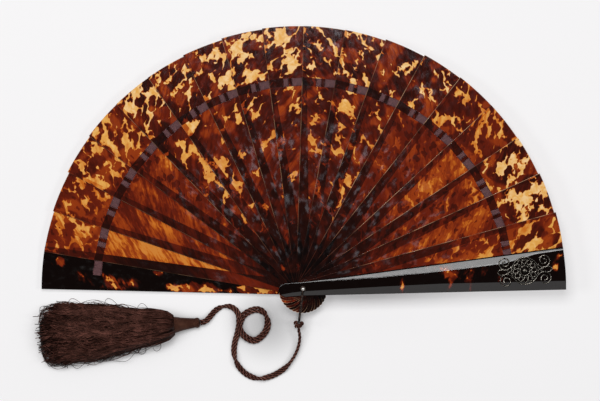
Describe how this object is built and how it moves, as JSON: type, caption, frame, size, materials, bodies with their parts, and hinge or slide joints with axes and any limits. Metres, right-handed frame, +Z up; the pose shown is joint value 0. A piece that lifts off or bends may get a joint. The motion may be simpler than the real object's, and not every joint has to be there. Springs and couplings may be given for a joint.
{
  "type": "brise fan",
  "caption": "Folding brise fan: flat tortoiseshell blades turning on a rivet, laced by a ribbon, with a wire bail, doubled cord and tassel.",
  "frame": {"origin": "where the rivet's axis meets the surface that the fan lies on, on the rivet's foot", "axes": "+Z up along the rivet, +Y from the rivet to the middle of the open fan, +X to the front guard"},
  "size_m": [0.4826, 0.3248, 0.0315],
  "materials": {
    "shell": "polished mottled tortoiseshell, amber with dark brown spots",
    "dark_shell": "polished dark tortoiseshell with a few amber patches",
    "ribbon": "narrow purple-brown silk ribbon",
    "silver": "polished silver",
    "oxidised_silver": "oxidised silver wire",
    "dark_wire": "dark burnished wire",
    "cord": "braided brown silk cord",
    "tassel": "dark brown silk threads"
  },
  "bodies": {
    "back_guard": {"back_guard": "dark_shell", "ribbon_back_end": "ribbon", "rivet": "dark_wire", "rivet_head": "silver"},
    "stick_01": {"stick_01": "shell", "ribbon_01": "ribbon"},
    "stick_02": {"stick_02": "shell", "ribbon_02": "ribbon"},
    "stick_03": {"stick_03": "shell", "ribbon_03": "ribbon"},
    "stick_04": {"stick_04": "shell", "ribbon_04": "ribbon"},
    "stick_05": {"stick_05": "shell", "ribbon_05": "ribbon"},
    "stick_06": {"stick_06": "shell", "ribbon_06": "ribbon"},
    "stick_07": {"stick_07": "shell", "ribbon_07": "ribbon"},
    "stick_08": {"stick_08": "shell", "ribbon_08": "ribbon"},
    "stick_09": {"stick_09": "shell", "ribbon_09": "ribbon"},
    "stick_10": {"stick_10": "shell", "ribbon_10": "ribbon"},
    "stick_11": {"stick_11": "shell", "ribbon_11": "ribbon"},
    "stick_12": {"stick_12": "shell", "ribbon_12": "ribbon"},
    "stick_13": {"stick_13": "shell", "ribbon_13": "ribbon"},
    "stick_14": {"stick_14": "shell", "ribbon_14": "ribbon"},
    "stick_15": {"stick_15": "shell", "ribbon_15": "ribbon"},
    "stick_16": {"stick_16": "shell", "ribbon_16": "ribbon"},
    "stick_17": {"stick_17": "shell", "ribbon_17": "ribbon"},
    "stick_18": {"stick_18": "shell", "ribbon_18": "ribbon"},
    "front_guard": {"front_guard": "dark_shell", "ribbon_front_end": "ribbon", "guard_ornament": "oxidised_silver"},
    "bail": {"bail": "dark_wire", "cord_knot": "cord", "cord_strand_a": "cord", "cord_strand_b": "cord", "tassel_neck": "cord", "tassel_skirt": "tassel"}
  },
  "joints": [
    {"name": "fan_closing", "type": "hinge", "parent": "back_guard", "child": "front_guard", "pos_m": [0, 0, 0], "axis": [0, 0, 1], "range_deg": [0, 171]},
    {"name": "stick_01_turn", "type": "hinge", "parent": "back_guard", "child": "stick_01", "pos_m": [0, 0, 0], "axis": [0, 0, 1], "range_deg": [0, 8.4]},
    {"name": "stick_02_turn", "type": "hinge", "parent": "back_guard", "child": "stick_02", "pos_m": [0, 0, 0], "axis": [0, 0, 1], "range_deg": [0, 17.52]},
    {"name": "stick_03_turn", "type": "hinge", "parent": "back_guard", "child": "stick_03", "pos_m": [0, 0, 0], "axis": [0, 0, 1], "range_deg": [0, 26.64]},
    {"name": "stick_04_turn", "type": "hinge", "parent": "back_guard", "child": "stick_04", "pos_m": [0, 0, 0], "axis": [0, 0, 1], "range_deg": [0, 35.76]},
    {"name": "stick_05_turn", "type": "hinge", "parent": "back_guard", "child": "stick_05", "pos_m": [0, 0, 0], "axis": [0, 0, 1], "range_deg": [0, 44.88]},
    {"name": "stick_06_turn", "type": "hinge", "parent": "back_guard", "child": "stick_06", "pos_m": [0, 0, 0], "axis": [0, 0, 1], "range_deg": [0, 54]},
    {"name": "stick_07_turn", "type": "hinge", "parent": "back_guard", "child": "stick_07", "pos_m": [0, 0, 0], "axis": [0, 0, 1], "range_deg": [0, 63.12]},
    {"name": "stick_08_turn", "type": "hinge", "parent": "back_guard", "child": "stick_08", "pos_m": [0, 0, 0], "axis": [0, 0, 1], "range_deg": [0, 72.24]},
    {"name": "stick_09_turn", "type": "hinge", "parent": "back_guard", "child": "stick_09", "pos_m": [0, 0, 0], "axis": [0, 0, 1], "range_deg": [0, 81.36]},
    {"name": "stick_10_turn", "type": "hinge", "parent": "back_guard", "child": "stick_10", "pos_m": [0, 0, 0], "axis": [0, 0, 1], "range_deg": [0, 90.48]},
    {"name": "stick_11_turn", "type": "hinge", "parent": "back_guard", "child": "stick_11", "pos_m": [0, 0, 0], "axis": [0, 0, 1], "range_deg": [0, 99.6]},
    {"name": "stick_12_turn", "type": "hinge", "parent": "back_guard", "child": "stick_12", "pos_m": [0, 0, 0], "axis": [0, 0, 1], "range_deg": [0, 108.72]},
    {"name": "stick_13_turn", "type": "hinge", "parent": "back_guard", "child": "stick_13", "pos_m": [0, 0, 0], "axis": [0, 0, 1], "range_deg": [0, 117.84]},
    {"name": "stick_14_turn", "type": "hinge", "parent": "back_guard", "child": "stick_14", "pos_m": [0, 0, 0], "axis": [0, 0, 1], "range_deg": [0, 126.96]},
    {"name": "stick_15_turn", "type": "hinge", "parent": "back_guard", "child": "stick_15", "pos_m": [0, 0, 0], "axis": [0, 0, 1], "range_deg": [0, 136.08]},
    {"name": "stick_16_turn", "type": "hinge", "parent": "back_guard", "child": "stick_16", "pos_m": [0, 0, 0], "axis": [0, 0, 1], "range_deg": [0, 145.2]},
    {"name": "stick_17_turn", "type": "hinge", "parent": "back_guard", "child": "stick_17", "pos_m": [0, 0, 0], "axis": [0, 0, 1], "range_deg": [0, 154.32]},
    {"name": "stick_18_turn", "type": "hinge", "parent": "back_guard", "child": "stick_18", "pos_m": [0, 0, 0], "axis": [0, 0, 1], "range_deg": [0, 163.44]},
    {"name": "bail_swing", "type": "hinge", "parent": "back_guard", "child": "bail", "pos_m": [0, 0, 0], "axis": [0, 0, 1], "range_deg": [0, 70]}
  ],
  "couplings": [
    {"joint": "stick_01_turn", "follows": "fan_closing", "ratio": 0.049122},
    {"joint": "stick_02_turn", "follows": "fan_closing", "ratio": 0.10246},
    {"joint": "stick_03_turn", "follows": "fan_closing", "ratio": 0.15579},
    {"joint": "stick_04_turn", "follows": "fan_closing", "ratio": 0.20912},
    {"joint": "stick_05_turn", "follows": "fan_closing", "ratio": 0.26246},
    {"joint": "stick_06_turn", "follows": "fan_closing", "ratio": 0.31579},
    {"joint": "stick_07_turn", "follows": "fan_closing", "ratio": 0.36912},
    {"joint": "stick_08_turn", "follows": "fan_closing", "ratio": 0.42246},
    {"joint": "stick_09_turn", "follows": "fan_closing", "ratio": 0.47579},
    {"joint": "stick_10_turn", "follows": "fan_closing", "ratio": 0.52912},
    {"joint": "stick_11_turn", "follows": "fan_closing", "ratio": 0.58246},
    {"joint": "stick_12_turn", "follows": "fan_closing", "ratio": 0.63579},
    {"joint": "stick_13_turn", "follows": "fan_closing", "ratio": 0.68912},
    {"joint": "stick_14_turn", "follows": "fan_closing", "ratio": 0.74246},
    {"joint": "stick_15_turn", "follows": "fan_closing", "ratio": 0.79579},
    {"joint": "stick_16_turn", "follows": "fan_closing", "ratio": 0.84912},
    {"joint": "stick_17_turn", "follows": "fan_closing", "ratio": 0.90246},
    {"joint": "stick_18_turn", "follows": "fan_closing", "ratio": 0.95579}
  ]
}
